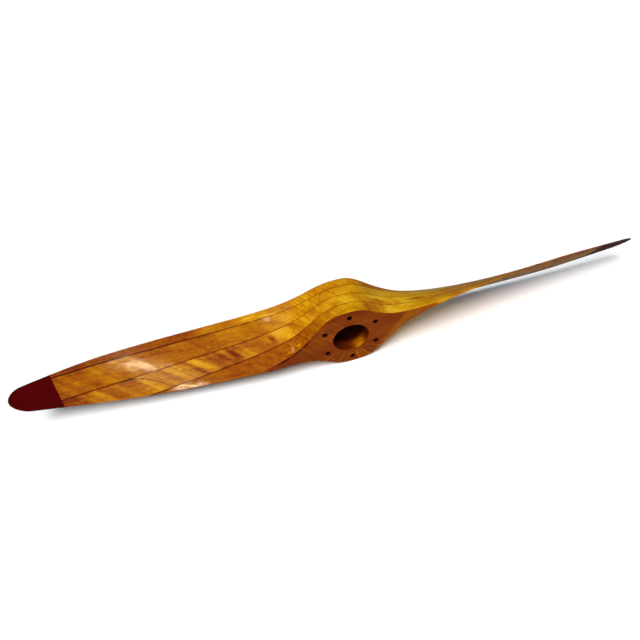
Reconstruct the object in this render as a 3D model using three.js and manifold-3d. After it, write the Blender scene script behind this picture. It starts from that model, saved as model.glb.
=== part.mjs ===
// A two-blade wooden propeller, glued up from four flat boards and carved to shape.
// Millimetres. X runs along the blades, Y is the shaft's axis and Z is up. The origin is the hub's centre.
// The rear hub face, which bolts to the engine's flange, looks towards -Y.
// One blade is the other turned half a turn about the shaft, so only the blade on -X is described.
import * as THREE from 'three';
import { mergeVertices } from 'three/addons/utils/BufferGeometryUtils.js';
import Module from 'manifold-3d';

const wasm = await Module();
wasm.setup();

// Whole propeller
const TIP_RADIUS = 627;
const HUB_RADIUS = 71.5;
const HUB_DEPTH = 90.5;
const HALF_DEPTH = HUB_DEPTH / 2;
const HUB_EDGE_ROUND = 11;

// Boards and the glue between them
const BOARD_NAMES = [
  'lamination_rear',
  'lamination_inner_rear',
  'lamination_inner_front',
  'lamination_front',
];
const GLUE_NAMES = ['glue_line_rear', 'glue_line_middle', 'glue_line_front'];
const BOARD_PITCH = HUB_DEPTH / BOARD_NAMES.length;
const GLUE_THICKNESS = 0.5;

// Holes along the shaft's axis
const MOUTH_RADIUS = 34.75;
const BORE_RADIUS = 32.5;
const BOLT_CIRCLE_RADIUS = 55.5;
const BOLT_COUNT = 6;
const BOLT_HOLE_RADIUS = 4.75;
const BORE_SIDES = 48;
const BOLT_SIDES = 12;

// The blade's flat side: a straight line across each section, Z = height + slope * Y
const LINE_HEIGHT = 25;
const LINE_FALL = 0.0565;
const SLOPE_AT_ROOT = 0.58;
const SLOPE_GAIN = 0.0027;
const SLOPE_AT_TIP = 1.82;
const SLOPE_BLEND = 0.1;

// Where the flat side's two edges lie along the shaft
const LEADING_DEPTH = 32.2;
const LEADING_SWEEP = 8;
const SWEEP_RADIUS = 580;
const SWEEP_POWER = 3.5;
const TRAILING_DEPTH = -62;
const TRAILING_GAIN = 0.1025;

// The blade's thickness and its round end
const ROOT_THICKNESS = 44;
const TIP_THICKNESS = 4.7;
const TAPER_POWER = 3;
const EDGE_THICKNESS = 1.2;
const END_ROUND_RADIUS = 596;

// How far along the blade the hub's shape reaches: half-way radius and sharpness, for the leading edge,
// for the front face and for the trailing edge of each side
const LEADING_FADE = { reach: 79, sharpness: 2.65 };
const FRONT_FACE_FADE = { reach: 100, sharpness: 5 };
const FLAT_TRAILING_FADE = { reach: 77, sharpness: 3.4 };
const CAMBERED_TRAILING_FADE = { reach: 61, sharpness: 2.8 };

// Overshoot of the uncut body past the hub's two faces
const FRONT_OVERSHOOT = 2.75;
const REAR_OVERSHOOT = 4.75;

// Tip covers: thin caps let into the ends of the blades
const COVER_LENGTH = 87;
const COVER_START = TIP_RADIUS - COVER_LENGTH;
const COVER_GAP = 0.3;
const COVER_OVERLAP = 10;
const CAVITY_SHARE = 0.9;
const CAVITY_END_WALL = 2;
const CORE_SHARE = 0.8;
const CORE_END_WALL = 4;

// How finely the carved body is faceted
const SIDE_STEPS = 9;
const NOSE_STEPS = 6;
const NOSE_SHARE = 0.25;
const END_STEPS = 4;

// Stations along the blade, from the shaft outwards: close together round the hub, wider along the blade
const HUB_STATIONS = [0, 12, 24, 36, 48, 60, 74, 90, 108, 130, 160];
const BLADE_STATION_STEP = 45;

const LOOKS = {
  lamination_rear: { color: 0xb06a1c, roughness: 0.22 },
  lamination_inner_rear: { color: 0xc98a1e, roughness: 0.2 },
  lamination_inner_front: { color: 0xc47f18, roughness: 0.2 },
  lamination_front: { color: 0xb87416, roughness: 0.22 },
  glue: { color: 0x3a1a08, roughness: 0.5 },
  tip_cover: { color: 0x5a1010, roughness: 0.25 },
};

const lerp = THREE.MathUtils.lerp;

// How much of the hub's own shape a section keeps at a radius: all at the shaft, half at the fade's radius.
function hubShare(radius, fade) {
  return 1 / (1 + (radius / fade.reach) ** fade.sharpness);
}

// The smaller of two values, with the corner where they cross rounded off.
function smoothMin(a, b, blend) {
  return (a + b - Math.hypot(a - b, blend)) / 2;
}

// Thickness along a section as a share of its greatest, from the leading edge at 0 to the trailing edge
// at 1: the NACA four-digit thickness form with a closed trailing edge.
function thicknessShare(along) {
  const root = 0.2969 * Math.sqrt(along);
  return 10 * (root - 0.126 * along - 0.3516 * along ** 2 + 0.2843 * along ** 3 - 0.1036 * along ** 4);
}

// The blade's own section at a radius, with no hub in it: its two edges on the flat side, the direction
// that the cambered side bulges towards, and its greatest thickness.
function bladeSection(radius) {
  const slope = smoothMin(SLOPE_AT_ROOT + SLOPE_GAIN * radius, SLOPE_AT_TIP, SLOPE_BLEND);
  const height = LINE_HEIGHT - LINE_FALL * radius;
  const leadingY = LEADING_DEPTH - LEADING_SWEEP * (radius / SWEEP_RADIUS) ** SWEEP_POWER;
  const trailingY = TRAILING_DEPTH + TRAILING_GAIN * radius;
  const taper = ((TIP_RADIUS - radius) / TIP_RADIUS) ** TAPER_POWER;
  return {
    leading: new THREE.Vector2(leadingY, height + slope * leadingY),
    trailing: new THREE.Vector2(trailingY, height + slope * trailingY),
    bulge: new THREE.Vector2(slope, -1).normalize(),
    thickness: TIP_THICKNESS + (ROOT_THICKNESS - TIP_THICKNESS) * taper,
  };
}

// How far a hub face is set back by the round along its edge, at a distance from the face's middle.
function edgeSetback(distance, halfWidth) {
  const intoRound = Math.max(0, Math.abs(distance) - (halfWidth - HUB_EDGE_ROUND));
  return HUB_EDGE_ROUND - Math.sqrt(HUB_EDGE_ROUND ** 2 - intoRound ** 2);
}

const HUB_FRONT = HALF_DEPTH + FRONT_OVERSHOOT;
const HUB_REAR = -HALF_DEPTH - REAR_OVERSHOOT;
const CORNER_SETBACK = HUB_EDGE_ROUND * (1 - Math.SQRT1_2);

// The hub's upper side, from the middle of its front corner at 0 to its rear edge at 1.
function hubTop(along) {
  const y = lerp(HUB_FRONT - CORNER_SETBACK, HUB_REAR, along);
  return new THREE.Vector2(y, HUB_RADIUS - edgeSetback(Math.max(y, 0), HUB_FRONT));
}

// The hub's front face and then its underside, over the same range.
function hubFrontAndUnderside(along) {
  if (along >= NOSE_SHARE) {
    const underside = hubTop((along - NOSE_SHARE) / (1 - NOSE_SHARE));
    return new THREE.Vector2(underside.x, -underside.y);
  }
  const z = (HUB_RADIUS - CORNER_SETBACK) * (1 - (2 * along) / NOSE_SHARE);
  return new THREE.Vector2(HUB_FRONT - edgeSetback(z, HUB_RADIUS), z);
}

// A point of the flat side, from its leading edge at 0 to its trailing edge at 1.
function flatPoint(radius, along) {
  const blade = bladeSection(radius);
  const point = blade.leading.clone().lerp(blade.trailing, along);
  const share = lerp(hubShare(radius, LEADING_FADE), hubShare(radius, FLAT_TRAILING_FADE), along);
  return point.lerp(hubTop(along), share);
}

// A point of the cambered side, over the same range. Its first part is the blade's nose, which turns into
// the hub's front face.
function camberedPoint(radius, along) {
  const blade = bladeSection(radius);
  const depth = thicknessShare(along) * blade.thickness + EDGE_THICKNESS * along;
  const point = blade.leading.clone().lerp(blade.trailing, along).addScaledVector(blade.bulge, depth);
  const onFrontFace = Math.sin(Math.PI * Math.min(along / NOSE_SHARE, 1));
  const frontShare = lerp(hubShare(radius, LEADING_FADE), hubShare(radius, FRONT_FACE_FADE), onFrontFace);
  const share = lerp(frontShare, hubShare(radius, CAMBERED_TRAILING_FADE), along);
  return point.lerp(hubFrontAndUnderside(along), share);
}

// Steps from 0 to 1, closer together at both ends.
function easedSteps(count) {
  return Array.from({ length: count + 1 }, (_, i) => (1 - Math.cos((Math.PI * i) / count)) / 2);
}

// One closed section: over the flat side to the leading edge, round the nose and back along the
// cambered side.
function sectionRing(radius) {
  const side = easedSteps(SIDE_STEPS);
  const top = side.toReversed().map((along) => flatPoint(radius, along));
  const nose = easedSteps(NOSE_STEPS)
    .slice(1, -1)
    .map((along) => camberedPoint(radius, NOSE_SHARE * along));
  const belly = side.map((along) => camberedPoint(radius, lerp(NOSE_SHARE, 1, along)));
  return [...top, ...nose, ...belly];
}

// The point that a section shrinks towards: the middle of its chord, moved into the blade as the share
// gets smaller.
function sectionMiddle(radius, share) {
  const blade = bladeSection(radius);
  const middle = blade.leading.clone().add(blade.trailing).multiplyScalar(0.5);
  return middle.addScaledVector(blade.bulge, (1 - share) * blade.thickness);
}

// A section shrunk by share, and to nothing at the round end.
function shrunkRing(radius, share, endRadius) {
  const middle = sectionMiddle(radius, share);
  const intoEnd = Math.max(0, radius - END_ROUND_RADIUS) / (endRadius - END_ROUND_RADIUS);
  const size = share * Math.sqrt(Math.max(0, 1 - intoEnd ** 2));
  return sectionRing(radius).map((point) => point.sub(middle).multiplyScalar(size).add(middle));
}

// Radii of the stations from one radius outwards to the round end.
function stationRadii(startRadius, endRadius) {
  const radii = HUB_STATIONS.filter((radius) => radius >= startRadius);
  const first = Math.max(startRadius, HUB_STATIONS.at(-1));
  const count = Math.ceil((END_ROUND_RADIUS - first) / BLADE_STATION_STEP);
  for (let i = radii.length ? 1 : 0; i <= count; i += 1) {
    radii.push(lerp(first, END_ROUND_RADIUS, i / count));
  }
  for (let i = 1; i < END_STEPS; i += 1) {
    radii.push(lerp(END_ROUND_RADIUS, endRadius, Math.sin((Math.PI / 2) * (i / END_STEPS))));
  }
  return radii;
}

// A closed mesh through rings of equal length, one ring to a station, closed by a point at each end.
function skin(rings, firstPoint, lastPoint) {
  const count = rings[0].length;
  const positions = [firstPoint, ...rings.flat(), lastPoint].flatMap((point) => point.toArray());
  const last = rings.length * count + 1;
  const triangles = [];
  for (let j = 0; j < count; j += 1) {
    const next = (j + 1) % count;
    triangles.push(0, 1 + j, 1 + next);
    for (let i = 0; i < rings.length - 1; i += 1) {
      const near = 1 + i * count;
      const far = near + count;
      triangles.push(near + j, far + next, near + next);
      triangles.push(near + j, far + j, far + next);
    }
    triangles.push(last, last - count + next, last - count + j);
  }
  const geometry = new THREE.BufferGeometry();
  geometry.setAttribute('position', new THREE.Float32BufferAttribute(positions, 3));
  geometry.setIndex(triangles);
  return geometry;
}

function toSolid(geometry) {
  const bare = geometry.clone();
  bare.deleteAttribute('normal');
  bare.deleteAttribute('uv');
  const merged = mergeVertices(bare);
  const mesh = new wasm.Mesh({
    numProp: 3,
    vertProperties: new Float32Array(merged.attributes.position.array),
    triVerts: new Uint32Array(merged.index.array),
  });
  return new wasm.Manifold(mesh);
}

function toGeometry(solid) {
  const mesh = solid.getMesh();
  const geometry = new THREE.BufferGeometry();
  geometry.setAttribute('position', new THREE.Float32BufferAttribute(mesh.vertProperties, 3));
  geometry.setIndex(Array.from(mesh.triVerts));
  geometry.computeVertexNormals();
  return geometry;
}

function box(low, high) {
  const size = high.map((value, i) => value - low[i]);
  const centre = high.map((value, i) => (value + low[i]) / 2);
  return toSolid(new THREE.BoxGeometry(...size).translate(...centre));
}

// A round bar along the shaft's axis, between two places on it.
function bar(radius, sides, from, to, x = 0, z = 0) {
  const geometry = new THREE.CylinderGeometry(radius, radius, to - from, sides);
  return toSolid(geometry.translate(x, (from + to) / 2, z));
}

// A ring of the blade on -X, and the matching ring of the blade on +X.
function leftRing(radius, ring) {
  return ring.map((point) => new THREE.Vector3(-radius, point.x, point.y));
}

function rightRing(radius, ring) {
  return ring.toReversed().map((point) => new THREE.Vector3(radius, point.x, -point.y));
}

// The point that closes a round end.
function endPoint(side, endRadius, share) {
  const middle = sectionMiddle(endRadius, share);
  return new THREE.Vector3(side * endRadius, middle.x, -side * middle.y);
}

// The whole carved body from tip to tip, before its faces are cut flat.
function carvedBody() {
  const radii = stationRadii(0, TIP_RADIUS);
  const ringAt = (radius) => shrunkRing(radius, 1, TIP_RADIUS);
  const left = radii.slice(1).toReversed().map((radius) => leftRing(radius, ringAt(radius)));
  const right = radii.map((radius) => rightRing(radius, ringAt(radius)));
  return toSolid(skin([...left, ...right], endPoint(-1, TIP_RADIUS, 1), endPoint(1, TIP_RADIUS, 1)));
}

// The inside of one blade's end, shrunk by share: the space in a tip cover, or the wood that fills it.
function innerEnd(side, share, endWall) {
  const endRadius = TIP_RADIUS - endWall;
  const radii = stationRadii(COVER_START - COVER_OVERLAP, endRadius);
  const rings = radii.map((radius) => {
    const ring = shrunkRing(radius, share, endRadius);
    return side < 0 ? leftRing(radius, ring) : rightRing(radius, ring);
  });
  const root = rings[0].reduce((sum, point) => sum.add(point), new THREE.Vector3());
  const rootMiddle = root.divideScalar(rings[0].length);
  const end = endPoint(side, endRadius, share);
  if (side < 0) {
    return toSolid(skin(rings.toReversed(), end, rootMiddle));
  }
  return toSolid(skin(rings, rootMiddle, end));
}

// The bore, its wider mouth in the rear board and the ring of bolt holes.
function shaftHoles() {
  let holes = bar(BORE_RADIUS, BORE_SIDES, -HUB_DEPTH, HUB_DEPTH);
  holes = holes.add(bar(MOUTH_RADIUS, BORE_SIDES, -HUB_DEPTH, -BOARD_PITCH));
  for (let i = 0; i < BOLT_COUNT; i += 1) {
    const angle = Math.PI / 2 + (2 * Math.PI * i) / BOLT_COUNT;
    const x = BOLT_CIRCLE_RADIUS * Math.cos(angle);
    const z = BOLT_CIRCLE_RADIUS * Math.sin(angle);
    holes = holes.add(bar(BOLT_HOLE_RADIUS, BOLT_SIDES, -HUB_DEPTH, HUB_DEPTH, x, z));
  }
  return holes;
}

// A slice across the shaft's axis that is wider and taller than the propeller.
function slab(from, to, halfLength = TIP_RADIUS * 2) {
  return box([-halfLength, from, -TIP_RADIUS], [halfLength, to, TIP_RADIUS]);
}

const group = new THREE.Group();

function addPart(name, solid, look) {
  const mesh = new THREE.Mesh(toGeometry(solid), new THREE.MeshStandardMaterial({ ...look, metalness: 0 }));
  mesh.name = name;
  group.add(mesh);
}

const carved = carvedBody();
const sides = { left: -1, right: 1 };

// The wood: the carved body drilled, and thinned to a core where the tip covers go.
let wood = carved.intersect(slab(-HALF_DEPTH, HALF_DEPTH, COVER_START - COVER_GAP)).subtract(shaftHoles());
for (const side of Object.values(sides)) {
  wood = wood.add(innerEnd(side, CORE_SHARE, CORE_END_WALL));
}

// Each board, less half a glue film on the sides where it meets another board.
BOARD_NAMES.forEach((name, i) => {
  const from = -HALF_DEPTH + i * BOARD_PITCH + (i > 0 ? GLUE_THICKNESS / 2 : 0);
  const to = -HALF_DEPTH + (i + 1) * BOARD_PITCH - (i < GLUE_NAMES.length ? GLUE_THICKNESS / 2 : 0);
  addPart(name, wood.intersect(slab(from, to)), LOOKS[name]);
});

GLUE_NAMES.forEach((name, i) => {
  const middle = -HALF_DEPTH + (i + 1) * BOARD_PITCH;
  const film = wood.intersect(slab(middle - GLUE_THICKNESS / 2, middle + GLUE_THICKNESS / 2));
  addPart(name, film, LOOKS.glue);
});

// The tip covers: the body's own ends, hollowed.
for (const [word, side] of Object.entries(sides)) {
  const near = [side * COVER_START, side * TIP_RADIUS * 2].sort((a, b) => a - b);
  const end = box([near[0], -TIP_RADIUS, -TIP_RADIUS], [near[1], TIP_RADIUS, TIP_RADIUS]);
  const cover = carved.intersect(end).subtract(innerEnd(side, CAVITY_SHARE, CAVITY_END_WALL));
  addPart(`tip_cover_${word}`, cover, LOOKS.tip_cover);
}

export default group;
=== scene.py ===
import math

import bmesh
import bpy
import numpy as np
from mathutils import Matrix, Vector


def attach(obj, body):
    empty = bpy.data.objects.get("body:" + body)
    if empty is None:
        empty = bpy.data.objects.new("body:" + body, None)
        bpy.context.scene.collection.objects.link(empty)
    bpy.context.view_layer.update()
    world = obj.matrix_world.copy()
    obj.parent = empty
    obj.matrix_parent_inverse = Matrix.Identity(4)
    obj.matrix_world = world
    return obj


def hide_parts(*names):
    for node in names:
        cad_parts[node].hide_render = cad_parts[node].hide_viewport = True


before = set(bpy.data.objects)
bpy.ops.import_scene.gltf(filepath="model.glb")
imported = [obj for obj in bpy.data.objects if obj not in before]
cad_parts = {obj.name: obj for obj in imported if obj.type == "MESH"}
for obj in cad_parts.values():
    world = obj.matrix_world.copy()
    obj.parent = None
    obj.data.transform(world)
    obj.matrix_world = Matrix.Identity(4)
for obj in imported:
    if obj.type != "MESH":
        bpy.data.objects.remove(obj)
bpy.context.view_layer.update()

# A two-blade wooden propeller, glued up from four boards and carved to shape.
# Its shape is made again here from the same formulas as the CAD, only with more points.
# X runs along the blades, Y is the shaft's axis with the rear hub face towards -Y, and Z is up.
# The blade on +X is the blade on -X turned half a turn about the shaft.
# Shapes are in millimetres up to the moment a mesh is made, where MM turns them into metres.
MM = 0.001
BODY = "root"

# ---------------------------------------------------------------- sizes, as in the CAD
TIP_RADIUS = 627
HUB_RADIUS = 71.5
HUB_DEPTH = 90.5
HALF_DEPTH = HUB_DEPTH / 2
HUB_EDGE_ROUND = 11

# Boards and the glue between them, from the rear
BOARDS = ["lamination_rear", "lamination_inner_rear", "lamination_inner_front", "lamination_front"]
GLUE_LINES = ["glue_line_rear", "glue_line_middle", "glue_line_front"]
BOARD_PITCH = HUB_DEPTH / len(BOARDS)
GLUE_THICKNESS = 0.5
GLUE_DEPTHS = [-HALF_DEPTH + (i + 1) * BOARD_PITCH for i in range(len(GLUE_LINES))]

# Holes along the shaft's axis
MOUTH_RADIUS = 34.75
BORE_RADIUS = 32.5
BOLT_CIRCLE_RADIUS = 55.5
BOLT_COUNT = 6
BOLT_HOLE_RADIUS = 4.75
BORE_SIDES = 144
BOLT_SIDES = 40

# The blade's flat side: a straight line across each section, Z = height + slope * Y
LINE_HEIGHT = 25
LINE_FALL = 0.0565
SLOPE_AT_ROOT = 0.58
SLOPE_GAIN = 0.0027
SLOPE_AT_TIP = 1.82
SLOPE_BLEND = 0.1

# Where the flat side's two edges lie along the shaft
LEADING_DEPTH = 32.2
LEADING_SWEEP = 8
SWEEP_RADIUS = 580
SWEEP_POWER = 3.5
TRAILING_DEPTH = -62
TRAILING_GAIN = 0.1025

# The blade's thickness and its round end
ROOT_THICKNESS = 44
TIP_THICKNESS = 4.7
TAPER_POWER = 3
EDGE_THICKNESS = 1.2
END_ROUND_RADIUS = 596

# How far along the blade the hub's shape reaches: half-way radius and sharpness, for the leading edge,
# for the front face and for the trailing edge of each side
LEADING_FADE = (79, 2.65)
FRONT_FACE_FADE = (100, 5)
FLAT_TRAILING_FADE = (77, 3.4)
CAMBERED_TRAILING_FADE = (61, 2.8)

# The body is carved a little past the hub's two faces, and then sawn flat.
FRONT_OVERSHOOT = 2.75
REAR_OVERSHOOT = 4.75
UNCUT_FRONT = HALF_DEPTH + FRONT_OVERSHOOT
UNCUT_REAR = -HALF_DEPTH - REAR_OVERSHOOT
CORNER_SETBACK = HUB_EDGE_ROUND * (1 - math.sqrt(0.5))

# Tip covers: thin caps let into the ends of the blades
COVER_LENGTH = 87
COVER_START = TIP_RADIUS - COVER_LENGTH
COVER_GAP = 0.3
COVER_OVERLAP = 10
CAVITY_SHARE = 0.9
CAVITY_END_WALL = 2
CAVITY_END_RADIUS = TIP_RADIUS - CAVITY_END_WALL

# How finely the carved body is made: points round a section, and stations along the blade
NOSE_SHARE = 0.25
SIDE_STEPS = 44
NOSE_STEPS = 16
EDGE_STEPS = 4
END_STEPS = 16
HUB_STATIONS_END = 160
HUB_STATION_STEP = 2.5
BLADE_STATIONS = 74

# The hub's flat faces are eased round their outline, and corners under the smooth angle are shaded away.
RIM_WIDTH = 0.5
SMOOTH_ANGLE = math.radians(32)

# When a point counts as on a plane, in metres, and how squarely a face must look along the shaft
ON_PLANE = 1e-6
CUT_WIDTH = 1e-7
LEAST_LENGTH = 1e-3
ALONG_SHAFT = 0.99
SAWN_FLAT = 0.99999


# ---------------------------------------------------------------- the carved shape
def hub_share(radius, fade):
    """How much of the hub's own shape a section keeps: all at the shaft, half at the fade's radius."""
    reach, sharpness = fade
    return 1 / (1 + (radius / reach) ** sharpness)


def smooth_min(a, b, blend):
    return (a + b - np.hypot(a - b, blend)) / 2


def thickness_share(s):
    """The NACA four-digit thickness form with a closed trailing edge, from the leading edge at 0 to 1."""
    root = 0.2969 * np.sqrt(s)
    return 10 * (root - 0.126 * s - 0.3516 * s**2 + 0.2843 * s**3 - 0.1036 * s**4)


def eased(count):
    """Steps from 0 to 1, closer together at both ends."""
    return (1 - np.cos(np.pi * np.arange(count + 1) / count)) / 2


def mix(a, b, t):
    return a + (b - a) * t


def blade_section(radius):
    """The bare blade section at each radius: leading and trailing edge, bulge direction and thickness."""
    slope = smooth_min(SLOPE_AT_ROOT + SLOPE_GAIN * radius, SLOPE_AT_TIP, SLOPE_BLEND)
    height = LINE_HEIGHT - LINE_FALL * radius
    leading_y = LEADING_DEPTH - LEADING_SWEEP * (radius / SWEEP_RADIUS) ** SWEEP_POWER
    trailing_y = TRAILING_DEPTH + TRAILING_GAIN * radius
    leading = np.stack([leading_y, height + slope * leading_y], -1)
    trailing = np.stack([trailing_y, height + slope * trailing_y], -1)
    bulge = np.stack([slope, -np.ones_like(slope)], -1) / np.hypot(slope, 1)[..., None]
    taper = ((TIP_RADIUS - radius) / TIP_RADIUS) ** TAPER_POWER
    return leading, trailing, bulge, mix(TIP_THICKNESS, ROOT_THICKNESS, taper)


def edge_setback(distance, half_width):
    """How far a hub face is set back by the round along its edge, at a distance from the face's middle."""
    into_round = np.maximum(0, np.abs(distance) - (half_width - HUB_EDGE_ROUND))
    return HUB_EDGE_ROUND - np.sqrt(HUB_EDGE_ROUND**2 - into_round**2)


def hub_top(s):
    y = mix(UNCUT_FRONT - CORNER_SETBACK, UNCUT_REAR, s)
    return np.stack([y, HUB_RADIUS - edge_setback(np.maximum(y, 0), UNCUT_FRONT)], -1)


def hub_front_and_underside(s):
    z = (HUB_RADIUS - CORNER_SETBACK) * (1 - 2 * np.minimum(s / NOSE_SHARE, 1))
    front = np.stack([UNCUT_FRONT - edge_setback(z, HUB_RADIUS), z], -1)
    under = hub_top(np.maximum((s - NOSE_SHARE) / (1 - NOSE_SHARE), 0)) * [1, -1]
    return np.where((s >= NOSE_SHARE)[..., None], under, front)


def flat_point(radius, s):
    leading, trailing, _, _ = blade_section(radius)
    share = mix(hub_share(radius, LEADING_FADE), hub_share(radius, FLAT_TRAILING_FADE), s)
    return mix(mix(leading, trailing, s[..., None]), hub_top(s), share[..., None])


def cambered_point(radius, s):
    leading, trailing, bulge, thickness = blade_section(radius)
    depth = thickness_share(s) * thickness + EDGE_THICKNESS * s
    on_front_face = np.sin(np.pi * np.minimum(s / NOSE_SHARE, 1))
    front_share = mix(hub_share(radius, LEADING_FADE), hub_share(radius, FRONT_FACE_FADE), on_front_face)
    share = mix(front_share, hub_share(radius, CAMBERED_TRAILING_FADE), s)
    point = mix(leading, trailing, s[..., None]) + bulge * depth[..., None]
    return mix(point, hub_front_and_underside(s), share[..., None])


def section_rings(radii):
    """Y and Z of the closed section at each radius: up the flat side, round the nose and down the belly."""
    radius = radii[:, None]
    side = eased(SIDE_STEPS)
    top = flat_point(radius + 0 * side, side[::-1] + 0 * radius)
    nose_s = NOSE_SHARE * eased(NOSE_STEPS)[1:-1]
    nose = cambered_point(radius + 0 * nose_s, nose_s + 0 * radius)
    belly_s = mix(NOSE_SHARE, 1, side)
    belly = cambered_point(radius + 0 * belly_s, belly_s + 0 * radius)
    # The trailing edge is a little round instead of square.
    start, end = belly[:, -1], top[:, 0]
    across = end - start
    width = np.hypot(across[:, 0], across[:, 1])[:, None]
    outward = np.stack([across[:, 1], -across[:, 0]], -1) / width
    outward *= np.sign(np.sum(outward * (start - belly[:, -3]), -1))[:, None]
    reach = np.minimum(width, EDGE_THICKNESS) / 2
    turns = np.pi * np.arange(1, EDGE_STEPS) / EDGE_STEPS
    edge = [start + across * (1 - math.cos(t)) / 2 + outward * reach * math.sin(t) for t in turns]
    return np.concatenate([top, nose, belly, np.stack(edge, 1)], 1)


def section_middle(radius, share):
    """The point that a section shrinks towards; a smaller section sits further into the bulge."""
    leading, trailing, bulge, thickness = blade_section(radius)
    return (leading + trailing) / 2 + bulge * ((1 - share) * thickness)[..., None]


def shrunk_rings(radii, share, end_radius):
    middle = section_middle(radii, share)[:, None]
    into_end = np.maximum(0, radii - END_ROUND_RADIUS) / (end_radius - END_ROUND_RADIUS)
    size = share * np.sqrt(np.maximum(0, 1 - into_end**2))
    return middle + (section_rings(radii) - middle) * size[:, None, None]


def station_radii(start, end_radius):
    """Stations from start outwards: close together round the hub, and again round the blade's end."""
    hub = np.arange(0, HUB_STATIONS_END, HUB_STATION_STEP)
    blade = np.linspace(HUB_STATIONS_END, END_ROUND_RADIUS, BLADE_STATIONS)
    turns = np.pi / 2 * np.arange(1, END_STEPS) / END_STEPS
    end = mix(END_ROUND_RADIUS, end_radius, np.sin(turns))
    radii = np.concatenate([hub, blade, end])
    return np.concatenate([[start], radii[radii > start + 1]])


def left_rings(radii, rings):
    return np.concatenate([np.broadcast_to(-radii[:, None, None], rings.shape[:2] + (1,)), rings], -1)


def right_rings(radii, rings):
    """The other blade: half a turn about the shaft."""
    return left_rings(radii, rings)[:, ::-1] * [-1, 1, -1]


def end_point(side, end_radius, share=1.0):
    """The point that closes a blade's round end; side is -1 for the left blade and 1 for the right one."""
    y, z = section_middle(np.array([float(end_radius)]), share)[0]
    return np.array([side * end_radius, y, -side * z])


# ---------------------------------------------------------------- meshes
def mesh_object(name, vertices, faces):
    mesh = bpy.data.meshes.new(name)
    mesh.from_pydata((np.asarray(vertices) * MM).tolist(), [], faces)
    mesh.validate()
    obj = bpy.data.objects.new(name, mesh)
    bpy.context.scene.collection.objects.link(obj)
    return obj


def skinned(name, rings, first, last):
    """A closed mesh through the rings, from one end point to the other."""
    stations, count = rings.shape[:2]
    vertices = np.concatenate([[first], rings.reshape(-1, 3), [last]])
    top = stations * count + 1
    faces = []
    for j in range(count):
        k = (j + 1) % count
        faces.append((0, 1 + j, 1 + k))
        faces.append((top, top - count + k, top - count + j))
    for i in range(stations - 1):
        a = 1 + i * count
        b = a + count
        faces.extend((a + j, b + j, b + (j + 1) % count, a + (j + 1) % count) for j in range(count))
    return mesh_object(name, vertices, faces)


def carved_body():
    radii = station_radii(0, TIP_RADIUS)
    rings = shrunk_rings(radii, 1.0, TIP_RADIUS)
    left = left_rings(radii, rings)[:0:-1]
    right = right_rings(radii, rings)
    ends = [end_point(side, TIP_RADIUS) for side in (-1, 1)]
    return skinned("carved", np.concatenate([left, right]), *ends)


def cover_cavity(side):
    """The space inside a tip cover, a smaller copy of the blade's end that starts short of the cover."""
    radii = station_radii(COVER_START - COVER_OVERLAP, CAVITY_END_RADIUS)
    rings = shrunk_rings(radii, CAVITY_SHARE, CAVITY_END_RADIUS)
    end = end_point(side, CAVITY_END_RADIUS, CAVITY_SHARE)
    if side < 0:
        rings = left_rings(radii, rings)[::-1]
        return skinned("cavity", rings, end, rings[-1].mean(0))
    rings = right_rings(radii, rings)
    return skinned("cavity", rings, rings[0].mean(0), end)


def box(low, high):
    x0, y0, z0 = low
    x1, y1, z1 = high
    vertices = [(x, y, z) for x in (x0, x1) for y in (y0, y1) for z in (z0, z1)]
    faces = [(0, 1, 3, 2), (4, 6, 7, 5), (0, 4, 5, 1), (2, 3, 7, 6), (0, 2, 6, 4), (1, 5, 7, 3)]
    return mesh_object("box", vertices, faces)


def slab(low_y, high_y, half_length=2 * TIP_RADIUS):
    return box((-half_length, low_y, -TIP_RADIUS), (half_length, high_y, TIP_RADIUS))


def bar(radius, sides, low_y, high_y, x=0.0, z=0.0):
    """A round bar along the shaft's axis, to cut a hole with."""
    turn = 2 * np.pi * np.arange(sides) / sides
    ring = np.stack([x + radius * np.cos(turn), 0 * turn, z + radius * np.sin(turn)], -1)
    vertices = np.concatenate([ring + [0, low_y, 0], ring + [0, high_y, 0]])
    faces = [(j, j + sides, (j + 1) % sides + sides, (j + 1) % sides) for j in range(sides)]
    faces += [tuple(range(sides)), tuple(range(2 * sides - 1, sides - 1, -1))]
    return mesh_object("bar", vertices, faces)


def combined(obj, other, operation):
    """obj with the Boolean applied; other is used up."""
    modifier = obj.modifiers.new("combine", "BOOLEAN")
    modifier.object = other
    modifier.operation = operation
    modifier.solver = "MANIFOLD"
    graph = bpy.context.evaluated_depsgraph_get()
    mesh = bpy.data.meshes.new_from_object(obj.evaluated_get(graph))
    obj.modifiers.clear()
    old, obj.data = obj.data, mesh
    bpy.data.meshes.remove(old)
    bpy.data.objects.remove(other)
    return obj


def copy_of(obj, name):
    other = bpy.data.objects.new(name, obj.data.copy())
    bpy.context.scene.collection.objects.link(other)
    return other


def ease_rim(obj, y, inwards):
    """A small chamfer round the flat face at y: its outline moves in, and a new loop holds the side."""
    bm = bmesh.new()
    bm.from_mesh(obj.data)
    geometry = bm.verts[:] + bm.edges[:] + bm.faces[:]
    plane = Vector((0, (y + inwards * RIM_WIDTH) * MM, 0))
    bmesh.ops.bisect_plane(bm, geom=geometry, plane_co=plane, plane_no=(0, 1, 0), dist=CUT_WIDTH)
    bm.normal_update()
    moves = {}
    for vertex in bm.verts:
        if abs(vertex.co.y - y * MM) > ON_PLANE:
            continue
        sides = [face.normal for face in vertex.link_faces if abs(face.normal.y) < ALONG_SHAFT]
        normal = sum(sides, Vector())
        normal.y = 0
        if normal.length > LEAST_LENGTH:
            moves[vertex] = -normal.normalized() * RIM_WIDTH * MM
    for vertex, move in moves.items():
        vertex.co += move
    bm.to_mesh(obj.data)
    bm.free()


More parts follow.
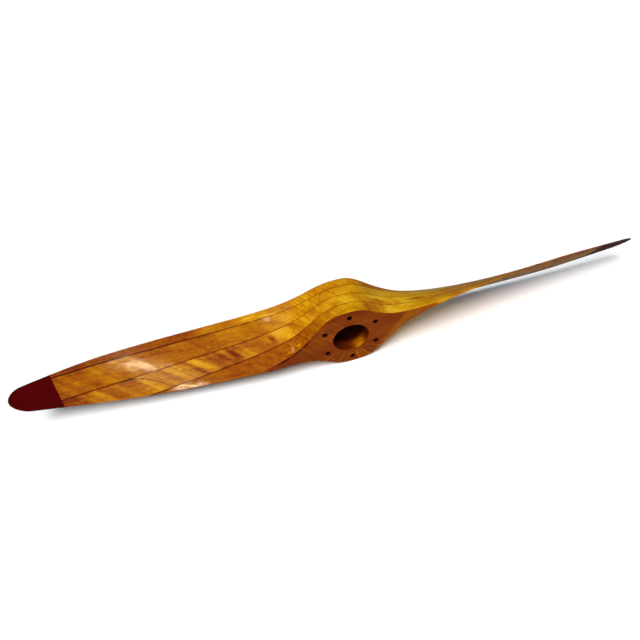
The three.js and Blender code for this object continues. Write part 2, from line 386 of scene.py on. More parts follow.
def finish_shading(obj):
    """Smooth shading, with hard edges at corners and wherever a sawn flat face meets the carved surface."""
    mesh = obj.data
    mesh.shade_smooth()
    mesh.set_sharp_from_angle(angle=SMOOTH_ANGLE)
    bm = bmesh.new()
    bm.from_mesh(mesh)
    bm.normal_update()
    for edge in bm.edges:
        flat = [abs(face.normal.y) > SAWN_FLAT for face in edge.link_faces]
        if len(flat) == 2 and flat[0] != flat[1]:
            edge.smooth = False
    bm.to_mesh(mesh)
    bm.free()


# ---------------------------------------------------------------- the pieces
carved = carved_body()
holes = bar(BORE_RADIUS, BORE_SIDES, -HUB_DEPTH, HUB_DEPTH)
holes = combined(holes, bar(MOUTH_RADIUS, BORE_SIDES, -HUB_DEPTH, -BOARD_PITCH), "UNION")
for i in range(BOLT_COUNT):
    angle = math.pi / 2 + 2 * math.pi * i / BOLT_COUNT
    x, z = BOLT_CIRCLE_RADIUS * math.cos(angle), BOLT_CIRCLE_RADIUS * math.sin(angle)
    holes = combined(holes, bar(BOLT_HOLE_RADIUS, BOLT_SIDES, -HUB_DEPTH, HUB_DEPTH, x, z), "UNION")

wood = combined(copy_of(carved, "wood"), slab(-HALF_DEPTH, HALF_DEPTH, COVER_START - COVER_GAP), "INTERSECT")
wood = combined(wood, holes, "DIFFERENCE")

pieces = {}
board_rears = [-HALF_DEPTH] + [depth + GLUE_THICKNESS / 2 for depth in GLUE_DEPTHS]
board_fronts = [depth - GLUE_THICKNESS / 2 for depth in GLUE_DEPTHS] + [HALF_DEPTH]
for node, low, high in zip(BOARDS, board_rears, board_fronts):
    board = copy_of(wood, node.replace("lamination", "board"))
    pieces[node] = combined(board, slab(low, high), "INTERSECT")
for node, depth in zip(GLUE_LINES, GLUE_DEPTHS):
    film = copy_of(wood, node.replace("glue_line", "glue_film"))
    pieces[node] = combined(film, slab(depth - GLUE_THICKNESS / 2, depth + GLUE_THICKNESS / 2), "INTERSECT")
for word, side in (("left", -1), ("right", 1)):
    low_x, high_x = sorted((side * COVER_START, side * 2 * TIP_RADIUS))
    end_block = box((low_x, -TIP_RADIUS, -TIP_RADIUS), (high_x, TIP_RADIUS, TIP_RADIUS))
    cover = combined(copy_of(carved, "tip_paint_" + word), end_block, "INTERSECT")
    pieces["tip_cover_" + word] = combined(cover, cover_cavity(side), "DIFFERENCE")
for spare in (wood, carved):
    bpy.data.objects.remove(spare)

ease_rim(pieces["lamination_rear"], -HALF_DEPTH, 1)
ease_rim(pieces["lamination_front"], HALF_DEPTH, -1)
for piece in pieces.values():
    finish_shading(piece)

for node, piece in pieces.items():
    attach(piece, BODY)
    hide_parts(node)


# ---------------------------------------------------------------- materials
def linked_node(tree, kind, inputs, **settings):
    """A new node with its settings, and each input set to a value or linked to another node's output."""
    made = tree.nodes.new(kind)
    for key, value in settings.items():
        setattr(made, key, value)
    for key, value in inputs.items():
        if isinstance(value, bpy.types.NodeSocket):
            tree.links.new(value, made.inputs[key])
        else:
            made.inputs[key].default_value = value
    return made


class Graph:
    """Short calls that add linked shader nodes to one new material. Places here are in metres."""

    def __init__(self, name):
        self.material = bpy.data.materials.new(name)
        self.material.use_nodes = True
        self.tree = self.material.node_tree
        self.shader = self.tree.nodes["Principled BSDF"]
        self.place = self.tree.nodes.new("ShaderNodeTexCoord").outputs["Object"]
        split = self.node("ShaderNodeSeparateXYZ", {0: self.place})
        self.x, self.y, self.z = split.outputs

    def node(self, kind, inputs, **settings):
        return linked_node(self.tree, kind, inputs, **settings)

    def math(self, operation, a, b=0.0, c=0.0):
        return self.node("ShaderNodeMath", {0: a, 1: b, 2: c}, operation=operation).outputs[0]

    def vector(self, operation, inputs, output=0):
        return self.node("ShaderNodeVectorMath", inputs, operation=operation).outputs[output]

    def add(self, *values):
        total = values[0]
        for value in values[1:]:
            total = self.math("ADD", total, value)
        return total

    def times(self, a, b):
        return self.math("MULTIPLY", a, b)

    def minus(self, a, b):
        return self.math("SUBTRACT", a, b)

    def absolute(self, value):
        return self.math("ABSOLUTE", value)

    def hypot(self, a, b):
        return self.math("SQRT", self.add(self.times(a, a), self.times(b, b)))

    def join(self, x, y, z):
        return self.node("ShaderNodeCombineXYZ", {0: x, 1: y, 2: z}).outputs[0]

    def raised(self, total, value, strength):
        return self.math("MULTIPLY_ADD", value, strength, total)

    def swung(self, total, value, strength):
        """total, raised where value is over a half and lowered where it is under."""
        return self.raised(total, self.minus(value, 0.5), strength)

    def chosen(self, share, a, b):
        return self.node("ShaderNodeMix", {0: share, 2: a, 3: b}).outputs[0]

    def noise(self, scale, shift=(0, 0, 0), place=None, detail=2.0, roughness=0.5, distortion=0.0):
        """Noise from 0 to 1; scale is cells to a metre along each axis."""
        place = self.place if place is None else place
        stretched = self.vector("MULTIPLY_ADD", {0: place, 1: scale, 2: shift})
        inputs = {"Vector": stretched, "Scale": 1.0, "Detail": detail}
        inputs.update({"Roughness": roughness, "Distortion": distortion})
        return self.node("ShaderNodeTexNoise", inputs).outputs[0]

    def span(self, value, low, high, to_low=0.0, to_high=1.0, kind="SMOOTHSTEP"):
        """value from low..high mapped to to_low..to_high, held at both ends."""
        inputs = {0: value, 1: low, 2: high, 3: to_low, 4: to_high}
        return self.node("ShaderNodeMapRange", inputs, interpolation_type=kind, clamp=True).outputs[0]

    def steps(self, value, stops):
        """Straight lines through the (value, level) stops."""
        low, high = stops[0][0], stops[-1][0]
        colors = [((at - low) / (high - low), (level, level, level)) for at, level in stops]
        return self.ramp(self.span(value, low, high, kind="LINEAR"), colors)

    def ramp(self, value, stops):
        made = self.node("ShaderNodeValToRGB", {0: value})
        elements = made.color_ramp.elements
        while len(elements) < len(stops):
            elements.new(0.5)
        for element, (at, color) in zip(elements, stops):
            element.position = at
            element.color = (*color, 1)
        return made.outputs[0]

    def spot(self, centre, axis, length, width):
        """1 at centre, falling to 0 at length along axis and at width across it, all in millimetres."""
        axis = Vector(axis).normalized()
        away = self.vector("SUBTRACT", {0: self.place, 1: Vector(centre) * MM})
        along = self.vector("DOT_PRODUCT", {0: away, 1: axis}, "Value")
        rest = self.vector("SUBTRACT", {0: away, 1: self.vector("SCALE", {0: axis, "Scale": along})})
        across = self.vector("LENGTH", {0: rest}, "Value")
        along = self.math("DIVIDE", along, length * MM)
        across = self.math("DIVIDE", across, width * MM)
        return self.span(self.hypot(along, across), 1, 0)

    def bump(self, height, distance):
        inputs = {"Height": height, "Distance": distance, "Strength": 1.0}
        return self.node("ShaderNodeBump", inputs).outputs[0]

    def feed(self, **inputs):
        for key, value in inputs.items():
            socket = self.shader.inputs[key.replace("_", " ")]
            if isinstance(value, bpy.types.NodeSocket):
                self.tree.links.new(value, socket)
            else:
                socket.default_value = value


# Varnished wood from its darkest tone to its palest: thick varnish goes red before it goes dark.
WOOD_TONES = [
    (0.0, (0.020, 0.002, 0.0006)),
    (0.2, (0.100, 0.013, 0.001)),
    (0.38, (0.200, 0.033, 0.0008)),
    (0.55, (0.318, 0.088, 0.001)),
    (0.7, (0.440, 0.165, 0.0015)),
    (0.85, (0.570, 0.280, 0.004)),
    (1.0, (0.680, 0.400, 0.015)),
]

# Noise scales, in cells to a metre along X, Y and Z. Curl and ribs lie across the grain, the rest along it.
CURL_SCALE = (42, 7, 7)
CURL_PLACE_SCALE = (7, 12, 12)
RIB_SCALE = (330, 14, 14)
BLOTCH_SCALE = (15, 34, 34)
MOTTLE_SCALE = (120, 160, 160)
GRAIN_SCALE = (9, 620, 620)
PORE_SCALE = (110, 1500, 1500)
RING_WANDER_SCALE = (5, 9, 9)

# Each board's seed moves its noises by this much for each whole number, in cells.
SEED_SHIFT = (3.17, 1.31, 2.23)

# How far each one moves the tone, which runs from 0 to 1
CURL_SWING = 0.36
RIB_SWING = 0.3
BLOTCH_SWING = 0.42
MOTTLE_SWING = 0.26
GRAIN_SWING = 0.18
PORE_SWING = -0.10
RING_LINE_SWING = -0.07

# The part of each noise that shows: the levels where it starts and is full
CURL_RANGE = (0.28, 0.72)
CURL_PLACE_RANGE = (0.35, 0.62)
PORE_RANGE = (0.63, 0.74)
LEAST_CURL = 0.4

# Ribs fade in towards the hub from the left and out again across it, over these X in metres.
RIBS_IN = (-0.15, -0.07)
RIBS_OUT = (0.03, 0.0)
DIAGONAL_SLANT = 0.8

# Growth rings: the pith lies under the boards, and each board is cut from another place beside it.
PITH_HEIGHT = -0.19
PITH_DEPTH = -0.03
PITH_DEPTH_STEP = 0.017
RINGS_TO_A_METRE = 95
RING_WANDER = 5.5
RINGS_ALONG = 1.7
RING_LINE_RISE = (0.72, 0.97)
RING_LINE_FALL = (1.0, 0.97)

# The long grain line on the left blade: Y = level + bend * (X - middle)^2, in metres
ARC_MIDDLE = -0.421
ARC_BEND = -3.6
ARC_LEVEL = -0.0005
ARC_EDGE = (0.0010, 0.0003)
ARC_START = (-0.432, -0.420)
ARC_END = (-0.345, -0.360)
ARC_SWING = -0.3

# Wood soaked with glue beside a joint: how much the tone drops at each joint from the rear, and how far out
SOAK_SCALE = (60, 0, 0)
SOAK_STRENGTHS = (0.5, 0.3, 0.5)
LEAST_SOAK = -0.12
SOAK_EDGE = (0.0009, 0.0003)

# The darker, redder tone on the hub's two faces; its plane and edge are in metres
FACE_TONE = 0.38
FACE_SWING = 0.3
FACE_PLANE = (HALF_DEPTH - 0.15) * MM
FACE_EDGE = (FACE_PLANE - 0.0002, FACE_PLANE)

# Rays fan out below the bore from a point under the shaft, in cells to a radian.
RAY_SCALE = (13, 0, 0)
RAY_CENTRE_HEIGHT = -0.012
RAY_MIDDLE = 0.48
RAY_SWING = 0.75
RAYS_BELOW = (-0.022, -0.042)
RAYS_BEYOND = (0.034, 0.040)

# A paler strip along the face's edge, where this direction in X and Z reaches far enough
RIM_STRIP_DIRECTION = (0.8, -0.6)
RIM_STRIP_EDGE = (0.066, 0.071)
RIM_STRIP_SWING = 0.12

# Painted light and shade in the bore: its walls are painted dark as shade, with a painted pool of light and
# painted deeper shade past the step
BORE_EDGE = ((MOUTH_RADIUS + 0.3) * MM, (MOUTH_RADIUS + 0.1) * MM)
BORE_SHADE_TONE = 0.19
BORE_SWING = 0.25
BORE_LIGHT_POOL = ((17, -38, -30), (0, 1, 0), 22, 24)
LIGHT_POOL_MOTTLE = (0.2, 0.7, 0.4, 1.0)
LIGHT_POOL_SWING = 0.62
SHADE_PAST_STEP = (-0.021, -0.025, 0.15, 1.0)
# Out to this distance from each bolt hole's axis, in metres, the walls are painted black as shade
BOLT_HOLE_EDGE = ((BOLT_HOLE_RADIUS + 0.5) * MM, (BOLT_HOLE_RADIUS + 0.2) * MM)

# The wood's own gloss under the varnish: roughness, and how grain and pores change it
WOOD_ROUGHNESS = 0.30
GRAIN_ROUGHNESS = 0.12
PORE_ROUGHNESS = 0.15
WOOD_RELIEF = 0.00008

# Waves, ripples, crown and streaks in the varnish, as shares of its relief in metres
VARNISH_RELIEF = 0.0006
VARNISH_IOR = 1.5
WAVE_SCALE = (30, 45, 45)
RIPPLE_SCALE = (200, 240, 240)
WAVE_SHARE = 0.7
RIPPLE_SHARE = 0.08
CROWN_SHARE = 0.36
STREAK_SHARE = 0.8

# What lies under varnish or paint mirrors very little, because the coat does it.
BASE_SPECULAR = 0.04

# Marks in the wood and painted highlights: centre, axis, length and width in millimetres, and how far the
# tone moves
# Thin pale lines painted as highlights along the top of the two front boards, each over a ridge in the
# varnish
PAINTED_HIGHLIGHT_RIDGES = [
    ((-177, 28, 46.3), (35, 0, 0), 24, 1.3, 0.5),
    ((-137, 25, 45), (50, -7, -1.5), 34, 1.3, 0.5),
]
REAR_FLAMES = [
    ((-85, -45.2, 16), (-15, 0, -14), 16, 3, -0.36),
    ((-104, -45.2, 0.5), (-24, 0, -17), 21, 3, -0.36),
    ((-130, -45.2, -14), (-25, 0, -11), 26, 3.5, -0.36),
]
# Pale marks painted as highlights on the rear board by the hub's shoulder
REAR_PAINTED_GLINTS = [
    ((-98, -39, 12.5), (8, -2, 5), 8, 1.6, 0.4),
    ((-119, -40.5, -1), (14, -1, 7), 15, 1.3, 0.4),
]
INNER_REAR_FLAMES = [
    ((-215, -13, 1), (29, -19, -17.5), 28, 9, -0.45),
    ((-142, -9, 17), (21, -18, -11), 17, 7, -0.4),
    ((140, -13, 23.5), (31, -3, -3), 28, 7, -0.45),
    ((65, -13, 45), (25, -12, -20), 22, 5, -0.3),
]


class Wood(Graph):
    """One board's varnished wood. Each board has its own seed, which shifts every noise."""

    def __init__(self, name, seed):
        super().__init__(name)
        self.seed = seed
        self.shift = tuple(seed * step for step in SEED_SHIFT)
        diagonal = self.raised(self.x, self.add(self.y, self.z), DIAGONAL_SLANT)
        self.slanted = self.join(diagonal, self.y, self.z)
        self.radius = self.hypot(self.x, self.z)
        self.blotch = self.noise(BLOTCH_SCALE, self.shift, detail=3)
        self.mottle = self.noise(MOTTLE_SCALE, self.shift)
        self.grain = self.noise(GRAIN_SCALE, self.shift, detail=3, roughness=0.6)
        self.pores = self.span(self.noise(PORE_SCALE, self.shift, detail=1), *PORE_RANGE)

    def ring_lines(self):
        wander = self.noise(RING_WANDER_SCALE, self.shift, detail=1)
        pith = (0, PITH_DEPTH + PITH_DEPTH_STEP * self.seed, PITH_HEIGHT)
        from_pith = self.vector("DISTANCE", {0: self.join(0.0, self.y, self.z), 1: pith}, "Value")
        count = self.add(self.times(from_pith, RINGS_TO_A_METRE), self.times(wander, RING_WANDER))
        rings = self.math("FRACT", self.add(count, self.times(self.x, RINGS_ALONG)))
        return self.times(self.span(rings, *RING_LINE_RISE), self.span(rings, *RING_LINE_FALL))

    def curl(self):
        bands = self.noise(CURL_SCALE, self.shift, self.slanted, detail=1.5, distortion=0.4)
        return self.span(bands, *CURL_RANGE)

    def curl_strength(self, figure):
        """Curl comes and goes over the board, and never quite stops."""
        patches = self.span(self.noise(CURL_PLACE_SCALE, self.shift[::-1]), *CURL_PLACE_RANGE)
        local = self.raised(LEAST_CURL, patches, 1 - LEAST_CURL)
        return self.times(self.times(self.steps(self.x, figure), local), CURL_SWING)

    def plain_tone(self, tones_with_painted_light, figure):
        # The tone along X is partly the wood's own colour and partly painted light and shade.
        tone = self.steps(self.x, tones_with_painted_light)
        tone = self.swung(tone, self.curl(), self.curl_strength(figure))
        tone = self.swung(tone, self.blotch, BLOTCH_SWING)
        tone = self.swung(tone, self.mottle, MOTTLE_SWING)
        tone = self.swung(tone, self.grain, GRAIN_SWING)
        tone = self.raised(tone, self.ring_lines(), RING_LINE_SWING)
        return self.raised(tone, self.pores, PORE_SWING)

    def with_arc(self, tone):
        """One long grain line curves down the left blade."""
        off = self.minus(self.x, ARC_MIDDLE)
        curve = self.raised(ARC_LEVEL, self.times(off, off), ARC_BEND)
        line = self.span(self.absolute(self.minus(self.y, curve)), *ARC_EDGE)
        ends = self.times(self.span(self.x, *ARC_START), self.span(self.x, *ARC_END))
        return self.raised(tone, self.times(line, ends), ARC_SWING)

    def with_glue_soak(self, tone):
        """The wood is darker where glue has soaked in beside a joint."""
        soak = self.noise(SOAK_SCALE, self.shift)
        for depth, strength in zip(GLUE_DEPTHS, SOAK_STRENGTHS):
            beside = self.span(self.absolute(self.minus(self.y, depth * MM)), *SOAK_EDGE)
            tone = self.raised(tone, beside, self.raised(LEAST_SOAK, soak, -strength))
        return tone

    def with_hub_faces(self, tone):
        """The hub's sawn faces are darker and redder, with rays below the bore."""
        dark_tone = self.swung(FACE_TONE, self.blotch, FACE_SWING)
        dark_tone = self.swung(dark_tone, self.grain, FACE_SWING)
        turn = self.math("ARCTAN2", self.x, self.minus(RAY_CENTRE_HEIGHT, self.z))
        rays = self.noise(RAY_SCALE, self.shift, self.join(turn, 0.0, 0.0), roughness=0.7)
        ray_place = self.times(self.span(self.z, *RAYS_BELOW), self.span(self.radius, *RAYS_BEYOND))
        dark_tone = self.raised(dark_tone, self.times(ray_place, self.minus(rays, RAY_MIDDLE)), RAY_SWING)
        along_x, along_z = RIM_STRIP_DIRECTION
        reach = self.add(self.times(self.x, along_x), self.times(self.z, along_z))
        dark_tone = self.raised(dark_tone, self.span(reach, *RIM_STRIP_EDGE), RIM_STRIP_SWING)
        return self.chosen(self.span(self.absolute(self.y), *FACE_EDGE), tone, dark_tone)

    def with_ribs(self, tone):
        """Close ribs run across the grain by the hub's left shoulder."""
        near_hub = self.times(self.span(self.x, *RIBS_IN), self.span(self.x, *RIBS_OUT))
        ribs = self.noise(RIB_SCALE, self.shift, self.slanted, detail=1)
        return self.swung(tone, ribs, self.times(near_hub, RIB_SWING))

    def with_marks_and_highlights(self, tone, marks_and_glints):
        # Among these are painted highlights: the pale streaks and glints.
        for centre, axis, length, width, swing in marks_and_glints:
            tone = self.raised(tone, self.spot(centre, axis, length, width), swing)
        return tone

    def with_bore_light_and_shade(self, tone):
        """The bore is painted dark as shade, with a painted pool of light at its lower right and painted
        deeper shade past its step.
        """
        light_pool = self.times(self.spot(*BORE_LIGHT_POOL), self.span(self.mottle, *LIGHT_POOL_MOTTLE))
        dark_tone = self.raised(BORE_SHADE_TONE, light_pool, LIGHT_POOL_SWING)
        dark_tone = self.swung(dark_tone, self.blotch, BORE_SWING)
        dark_tone = self.times(dark_tone, self.span(self.y, *SHADE_PAST_STEP))
        return self.chosen(self.span(self.radius, *BORE_EDGE), tone, dark_tone)

    def with_bolt_hole_shade(self, tone):
        """The bolt holes are painted nearly black as shade: the turn about the shaft is folded onto one of
        them.
        """
        half_sector = math.pi / BOLT_COUNT
        folded = self.math("WRAP", self.math("ARCTAN2", self.x, self.z), half_sector, -half_sector)
        beside = self.times(self.radius, self.math("SINE", folded))
        beyond = self.minus(self.times(self.radius, self.math("COSINE", folded)), BOLT_CIRCLE_RADIUS * MM)
        return self.chosen(self.span(self.hypot(beside, beyond), *BOLT_HOLE_EDGE), tone, 0.0)

    def varnish_height(self, highlight_ridges):
        """The varnish follows each board's crown, which is 0 at its joints and 1 half-way between them."""
        across = self.math("FRACT", self.times(self.add(self.y, HALF_DEPTH * MM), 1 / (BOARD_PITCH * MM)))
        crown = self.times(self.times(across, self.minus(1.0, across)), 4)
        ripple = self.noise(RIPPLE_SCALE, self.shift)
        wave = self.raised(self.noise(WAVE_SCALE, self.shift, detail=1), ripple, RIPPLE_SHARE)
        height = self.add(self.times(wave, WAVE_SHARE), self.times(crown, CROWN_SHARE))
        for centre, axis, length, width, _ in highlight_ridges:
            height = self.raised(height, self.spot(centre, axis, length, width), STREAK_SHARE)
        return height


def wood_material(name, seed, tones_with_painted_light, figure, coat, haze, marks_and_glints=(), highlight_ridges=(), arc=False):
    """The tone and figure stops are (X in metres, level) pairs, and the tone stops are partly painted light
    and shade; coat and haze are the varnish's amount and blur.
    """
    g = Wood(name, seed)
    tone = g.plain_tone(tones_with_painted_light, figure)
    if arc:
        tone = g.with_arc(tone)
    tone = g.with_glue_soak(tone)
    tone = g.with_hub_faces(tone)
    tone = g.with_ribs(tone)
    tone = g.with_marks_and_highlights(tone, [*marks_and_glints, *highlight_ridges])
    tone = g.with_bore_light_and_shade(tone)
    tone = g.with_bolt_hole_shade(tone)
    g.feed(Base_Color=g.ramp(tone, WOOD_TONES))
    roughness = g.raised(WOOD_ROUGHNESS, g.grain, GRAIN_ROUGHNESS)
    g.feed(Roughness=g.raised(roughness, g.pores, PORE_ROUGHNESS), Specular_IOR_Level=BASE_SPECULAR)
    g.feed(Normal=g.bump(g.times(g.minus(g.grain, g.pores), 0.5), WOOD_RELIEF))
    g.feed(Coat_Normal=g.bump(g.varnish_height(highlight_ridges), VARNISH_RELIEF), Coat_IOR=VARNISH_IOR)
    g.feed(Coat_Weight=coat, Coat_Roughness=haze)
    return g.material


# Glue and tip paint: where their ramps start and end, and the darkest and palest colour of each
RAMP_START, RAMP_END = 0.3, 0.7
GLUE_DARK = (0.022, 0.003, 0.0005)
GLUE_PALE = (0.07, 0.012, 0.001)
PAINT_DARK = (0.050, 0.0, 0.0003)
PAINT_PALE = (0.070, 0.0001, 0.0006)


def glue_material():
    """Dark cured glue, a little uneven, under the same varnish."""
    g = Graph("glue_line")
    soak = g.noise(scale=(90, 400, 400), shift=(4, 2, 7), detail=3)
    g.feed(Base_Color=g.ramp(soak, [(RAMP_START, GLUE_DARK), (RAMP_END, GLUE_PALE)]))
    g.feed(Roughness=g.span(soak, RAMP_START, RAMP_END, to_low=0.35, to_high=0.55))
    g.feed(Normal=g.bump(soak, distance=0.00005), Specular_IOR_Level=BASE_SPECULAR)
    g.feed(Coat_Weight=0.6, Coat_Roughness=0.15)
    return g.material


def paint_material():
    """Dark red gloss paint, slightly clouded, with fine brush marks along the blade."""
    g = Graph("tip_paint")
    cloud = g.noise(scale=(14, 22, 22), shift=(1, 5, 2), detail=3)
    brush = g.noise(scale=(16, 420, 420), shift=(7, 3, 1))
    shade = g.add(g.times(cloud, 0.75), g.times(brush, 0.25))
    g.feed(Base_Color=g.ramp(shade, [(RAMP_START, PAINT_DARK), (RAMP_END, PAINT_PALE)]))
    g.feed(Roughness=g.span(brush, RAMP_START, RAMP_END, to_low=0.30, to_high=0.38))
    g.feed(Normal=g.bump(cloud, distance=0.0001), Specular_IOR_Level=BASE_SPECULAR)
    g.feed(Coat_Weight=0.18, Coat_Roughness=0.15, Coat_Normal=g.bump(cloud, distance=0.0004))
    return g.material


# Each board's tone stops along X are partly painted light and shade as well as the wood's own colour.
LOOKS = {
    "lamination_rear": wood_material(
        "wood_rear",
        seed=1.0,
        tones_with_painted_light=[
            (-0.54, 0.70), (-0.36, 0.46), (-0.31, 0.60), (-0.27, 0.50), (-0.22, 0.52),
            (-0.12, 0.49), (-0.06, 0.57), (0.0, 0.88), (0.026, 0.88), (0.036, 0.70),
            (0.066, 0.70), (0.076, 0.90), (0.10, 0.92), (0.2, 0.72), (0.4, 0.54),
        ],
        figure=[(-0.4, 0.2), (-0.05, 0.3), (0.05, 0.9), (0.14, 0.2)],
        coat=0.8,
        haze=0.11,
        marks_and_glints=REAR_FLAMES + REAR_PAINTED_GLINTS,
    ),
    "lamination_inner_rear": wood_material(
        "wood_inner_rear",
        seed=2.0,
        tones_with_painted_light=[
            (-0.54, 0.40), (-0.47, 0.66), (-0.38, 0.68), (-0.32, 0.70), (-0.28, 0.56), (-0.22, 0.66),
            (-0.14, 0.65), (-0.06, 0.76), (0.02, 0.90), (0.12, 0.89), (0.2, 0.78), (0.5, 0.54),
        ],
        figure=[
            (-0.54, 0.7), (-0.36, 0.9), (-0.3, 1.4), (-0.12, 1.1), (-0.04, 0.5), (0.06, 1.0), (0.14, 0.5),
        ],
        coat=0.6,
        haze=0.22,
        marks_and_glints=INNER_REAR_FLAMES,
        arc=True,
    ),
    "lamination_inner_front": wood_material(
        "wood_inner_front",
        seed=3.0,
        tones_with_painted_light=[
            (-0.54, 0.50), (-0.45, 0.57), (-0.40, 0.64), (-0.35, 0.59), (-0.25, 0.55), (-0.2, 0.62),
            (-0.12, 0.74), (-0.07, 0.76), (0.0, 0.78), (0.05, 0.84), (0.08, 0.92), (0.2, 0.90), (0.5, 0.66),
        ],
        figure=[(-0.54, 0.5), (-0.4, 0.4), (-0.3, 0.5), (-0.1, 0.4), (0.0, 0.1)],
        coat=1.0,
        haze=0.13,
        highlight_ridges=PAINTED_HIGHLIGHT_RIDGES,
    ),
    "lamination_front": wood_material(
        "wood_front",
        seed=4.0,
        tones_with_painted_light=[
            (-0.54, 0.43), (-0.4, 0.41), (-0.3, 0.47), (-0.24, 0.62), (-0.16, 0.76),
            (-0.08, 0.80), (0.0, 0.69), (0.09, 0.68), (0.2, 0.76), (0.5, 0.36),
        ],
        figure=[(-0.54, 0.2), (0.0, 0.3)],
        coat=0.35,
        haze=0.2,
        highlight_ridges=PAINTED_HIGHLIGHT_RIDGES,
    ),
}
LOOKS.update(dict.fromkeys(GLUE_LINES, glue_material()))
LOOKS.update(dict.fromkeys(["tip_cover_left", "tip_cover_right"], paint_material()))
for node, piece in pieces.items():
    piece.data.materials.clear()
    piece.data.materials.append(LOOKS[node])

# ---------------------------------------------------------------- floor and room
FLOOR_HEIGHT = -HUB_RADIUS * MM
FLOOR_HALF_WIDTH = 30000
PAPER_WHITE = (0.92, 0.92, 0.92, 1)
PAPER_ROUGHNESS = 0.9
FLOOR_CORNERS = np.array([(-1, -1, 0), (1, -1, 0), (1, 1, 0), (-1, 1, 0)])

floor = mesh_object("floor", FLOOR_CORNERS * FLOOR_HALF_WIDTH, [(0, 1, 2, 3)])
floor.location.z = FLOOR_HEIGHT
paper = Graph("floor_paper")
paper.feed(Base_Color=PAPER_WHITE, Roughness=PAPER_ROUGHNESS, Specular_IOR_Level=0.0)
floor.data.materials.append(paper.material)
floor.visible_glossy = False

world = bpy.data.worlds.new("studio")
bpy.context.scene.world = world
world.use_nodes = True


def world_node(kind, inputs, **settings):
    return linked_node(world.node_tree, kind, inputs, **settings)


def world_mix(share, a, b):
    """b where share is 1 and a where it is 0; a colour is three numbers or a colour socket."""
    if isinstance(b, tuple):
        a = (*a, 1) if isinstance(a, tuple) else a
        return world_node("ShaderNodeMix", {0: share, 6: a, 7: (*b, 1)}, data_type="RGBA").outputs[2]
    return world_node("ShaderNodeMix", {0: share, 2: a, 3: b}).outputs[0]


def heading(azimuth, elevation):
    """A direction from the object: azimuth 0 is towards -Y and positive towards +X, in degrees."""
    a, e = math.radians(azimuth), math.radians(elevation)
    return Vector((math.sin(a) * math.cos(e), -math.cos(a) * math.cos(e), math.sin(e)))


# The room lights the object faintly and coolly and looks white to the camera.
ROOM_STRENGTH = 0.20
ROOM_COLOR = (0.78, 0.90, 1.0)
SEEN_STRENGTH = 1.0
SEEN_COLOR = (1.0, 1.0, 1.0)

# Mirrored in the varnish it is warm and nearly dark, but for a paler part behind and under the right blade.
MIRRORED_COLOR = (0.98, 0.86, 0.72)
PALE_HEADING = heading(130, -46)
PALE_EDGE, PALE_CORE = 0.55, 0.9
DARK_STRENGTH, PALE_STRENGTH = 0.012, 0.125

outward = world_node("ShaderNodeTexCoord", {}).outputs["Generated"]
nearness = world_node("ShaderNodeVectorMath", {0: outward, 1: PALE_HEADING}, operation="DOT_PRODUCT")
pale_range = {0: nearness.outputs["Value"], 1: PALE_EDGE, 2: PALE_CORE, 3: DARK_STRENGTH, 4: PALE_STRENGTH}
mirrored_strength = world_node("ShaderNodeMapRange", pale_range).outputs[0]
ray = world_node("ShaderNodeLightPath", {})
mirrored, seen = ray.outputs["Is Glossy Ray"], ray.outputs["Is Camera Ray"]
background = world.node_tree.nodes["Background"]
strength = world_mix(seen, world_mix(mirrored, ROOM_STRENGTH, mirrored_strength), SEEN_STRENGTH)
color = world_mix(seen, world_mix(mirrored, ROOM_COLOR, MIRRORED_COLOR), SEEN_COLOR)
world.node_tree.links.new(strength, background.inputs["Strength"])
world.node_tree.links.new(color, background.inputs["Color"])


# ---------------------------------------------------------------- lights
def light(name, kind, energy, direction, **settings):
    """A light that shines along -direction."""
    data = bpy.data.lights.new(name, kind)
    data.energy = energy
    for key, value in settings.items():
        setattr(data, key, value)
    obj = bpy.data.objects.new(name, data)
    obj.rotation_euler = direction.to_track_quat("Z", "Y").to_euler()
    bpy.context.scene.collection.objects.link(obj)
    return obj


def glint_box(name, energy, place, target, size, color):
    """A small warm soft box, mirrored in the varnish as a glint. Its size is width and height in metres."""
    sizes = {"shape": "RECTANGLE", "size": size[0], "size_y": size[1]}
    obj = light(name, "AREA", energy, place - target, color=color, **sizes)
    obj.location = place


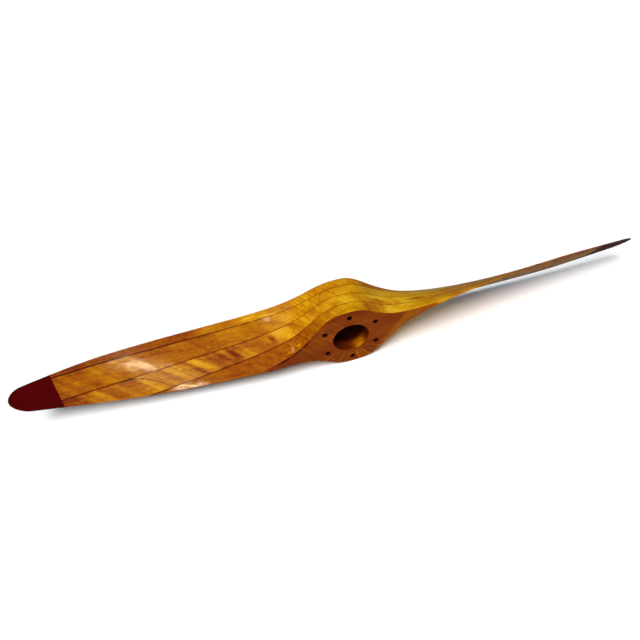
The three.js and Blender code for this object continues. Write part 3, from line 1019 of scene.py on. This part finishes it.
# The key light makes the floor's shadow; the front light falls on the propeller only.
key = light("key", "SUN", energy=3.4, direction=heading(-36, 66), angle=math.radians(30))
front = light("front", "SUN", energy=0.42, direction=heading(-26, 30), angle=math.radians(40))
key.visible_glossy = front.visible_glossy = False
lit_by_front = bpy.data.collections.new("lit_by_front")
for piece in pieces.values():
    lit_by_front.objects.link(piece)
front.light_linking.receiver_collection = lit_by_front

BLADE_MIDDLE = Vector((-0.35, 0, 0))
BLADE_ROOT = Vector((-0.15, 0, 0))
BOX_DISTANCE = 2.0
FRONT_BOX_PLACE = Vector((-1.045, -1.81, 0.52))
SIDE_BOX_PLACE = BLADE_ROOT + heading(-62, 34) * BOX_DISTANCE
TOP_BOX_PLACE = BLADE_ROOT + heading(-14, 58) * BOX_DISTANCE
PALE_AMBER = (1.0, 0.82, 0.5)
AMBER = (1.0, 0.78, 0.35)
glint_box("front_box", 1.0, FRONT_BOX_PLACE, BLADE_MIDDLE, size=(0.08, 0.09), color=PALE_AMBER)
glint_box("side_box", 0.7, SIDE_BOX_PLACE, BLADE_ROOT, size=(0.08, 0.2), color=AMBER)
glint_box("top_box", 0.7, TOP_BOX_PLACE, BLADE_ROOT, size=(0.16, 0.05), color=AMBER)

# ---------------------------------------------------------------- camera
# Angles are in degrees and distances in metres; the focal length is a share of the picture's width.
CAMERA_AZIMUTH = -7.985
CAMERA_ELEVATION = 48.973
CAMERA_ROLL = -9.390
CAMERA_DISTANCE = 0.8475
CAMERA_TARGET = Vector((-0.0460, 0, 0.0201))
FOCAL_SHARE = 450 / 640
SENSOR_WIDTH = 36

back = heading(CAMERA_AZIMUTH, CAMERA_ELEVATION)
level = heading(CAMERA_AZIMUTH + 90, 0)
above = back.cross(level)
roll = math.radians(CAMERA_ROLL)
right = level * math.cos(roll) + above * math.sin(roll)
up = above * math.cos(roll) - level * math.sin(roll)
camera = bpy.data.objects.new("camera", bpy.data.cameras.new("camera"))
camera.matrix_world = Matrix((right, up, back)).transposed().to_4x4()
camera.location = CAMERA_TARGET + back * CAMERA_DISTANCE
camera.data.sensor_width = SENSOR_WIDTH
camera.data.lens = SENSOR_WIDTH * FOCAL_SHARE
bpy.context.scene.collection.objects.link(camera)
bpy.context.scene.camera = camera
bpy.context.scene.view_settings.view_transform = "Standard"
